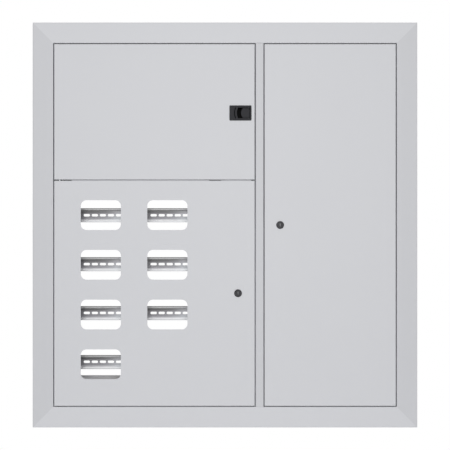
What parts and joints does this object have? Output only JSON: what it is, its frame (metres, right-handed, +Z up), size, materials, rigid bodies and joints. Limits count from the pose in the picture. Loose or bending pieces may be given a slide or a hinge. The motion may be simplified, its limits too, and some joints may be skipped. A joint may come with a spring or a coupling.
{
  "type": "floor distribution board",
  "caption": "Flush-mounted steel floor distribution board with a trim frame, two left doors, a tall right door, meter windows, key locks and a pull latch.",
  "frame": {"origin": "centre of the four-hole wall fixing pattern, on the rear plane", "axes": "+X to the right seen from the front, +Y into the wall, +Z up; the doors face -Y"},
  "size_m": [0.95, 0.142, 1],
  "materials": {
    "casing_paint": "fine-textured light grey powder coat",
    "door_paint": "smooth light grey powder coat",
    "zinc_steel": "zinc-plated steel",
    "galvanised": "galvanised sheet",
    "black_plastic": "moulded black polyamide",
    "lock_zinc": "dark die-cast zinc",
    "brass": "drawn brass bar",
    "insulator_plastic": "moulded pale polyamide"
  },
  "bodies": {
    "casing": {"frame_top_rail": "casing_paint", "frame_bottom_rail": "casing_paint", "frame_left_stile": "casing_paint", "frame_right_stile": "casing_paint", "mullion": "casing_paint", "crossbar": "casing_paint", "left_casing_wall": "casing_paint", "right_casing_wall": "casing_paint", "top_casing_wall": "casing_paint", "bottom_casing_wall": "casing_paint", "partition_wall": "casing_paint", "breaker_cover": "door_paint", "meter_post_left": "galvanised", "meter_post_middle": "galvanised", "meter_post_right": "galvanised", "post_tie_bar": "galvanised", "breaker_plate": "galvanised", "communications_plate": "galvanised", "meter_rail_1": "galvanised", "meter_rail_2": "galvanised", "meter_rail_3": "galvanised", "meter_rail_4": "galvanised", "meter_rail_5": "galvanised", "meter_rail_6": "galvanised", "meter_rail_7": "galvanised", "breaker_rail_upper": "galvanised", "breaker_rail_lower": "galvanised", "hinge_bracket_left_top": "zinc_steel", "hinge_bracket_left_middle": "zinc_steel", "hinge_bracket_left_bottom": "zinc_steel", "hinge_bracket_right_top": "zinc_steel", "hinge_bracket_right_bottom": "zinc_steel", "hinge_pins": "zinc_steel", "cover_pillars": "zinc_steel", "neutral_bar": "brass", "earth_bar": "brass", "neutral_bar_insulators": "insulator_plastic", "earth_bar_insulators": "insulator_plastic"},
    "upper_door": {"upper_left_door": "door_paint", "upper_left_door_pivot_plates": "door_paint", "latch_housing": "black_plastic", "latch_pin": "zinc_steel"},
    "lower_door": {"lower_left_door": "door_paint", "lower_left_door_pivot_plates": "door_paint", "lower_lock_barrel": "lock_zinc", "lower_lock_nut": "zinc_steel"},
    "right_door": {"right_door": "door_paint", "right_door_pivot_plates": "door_paint", "right_lock_barrel": "lock_zinc", "right_lock_nut": "zinc_steel"},
    "latch": {"latch_paddle": "black_plastic"},
    "lower_lock": {"lower_lock_plug": "lock_zinc", "lower_lock_cam": "zinc_steel", "lower_lock_cam_screw": "zinc_steel"},
    "right_lock": {"right_lock_plug": "lock_zinc", "right_lock_cam": "zinc_steel", "right_lock_cam_screw": "zinc_steel"}
  },
  "joints": [
    {"name": "upper_door_hinge", "type": "hinge", "parent": "casing", "child": "upper_door", "pos_m": [-0.409, -0.1335, 0.28], "axis": [0, 0, -1], "range_deg": [0, 95]},
    {"name": "lower_door_hinge", "type": "hinge", "parent": "casing", "child": "lower_door", "pos_m": [-0.409, -0.1335, -0.168], "axis": [0, 0, -1], "range_deg": [0, 95]},
    {"name": "right_door_hinge", "type": "hinge", "parent": "casing", "child": "right_door", "pos_m": [0.409, -0.1335, 0], "axis": [0, 0, 1], "range_deg": [0, 95]},
    {"name": "lower_lock_turn", "type": "hinge", "parent": "lower_door", "child": "lower_lock", "pos_m": [0.0322, -0.13, -0.1685], "axis": [0, 1, 0], "range_deg": [0, 90]},
    {"name": "right_lock_turn", "type": "hinge", "parent": "right_door", "child": "right_lock", "pos_m": [0.1361, -0.13, 0], "axis": [0, -1, 0], "range_deg": [0, 90]},
    {"name": "latch_pivot", "type": "hinge", "parent": "upper_door", "child": "latch", "pos_m": [0.0587, -0.137, 0.2766], "axis": [0, 0, 1], "range_deg": [-8, 25], "stiffness_Nm_per_rad": 0.05}
  ]
}
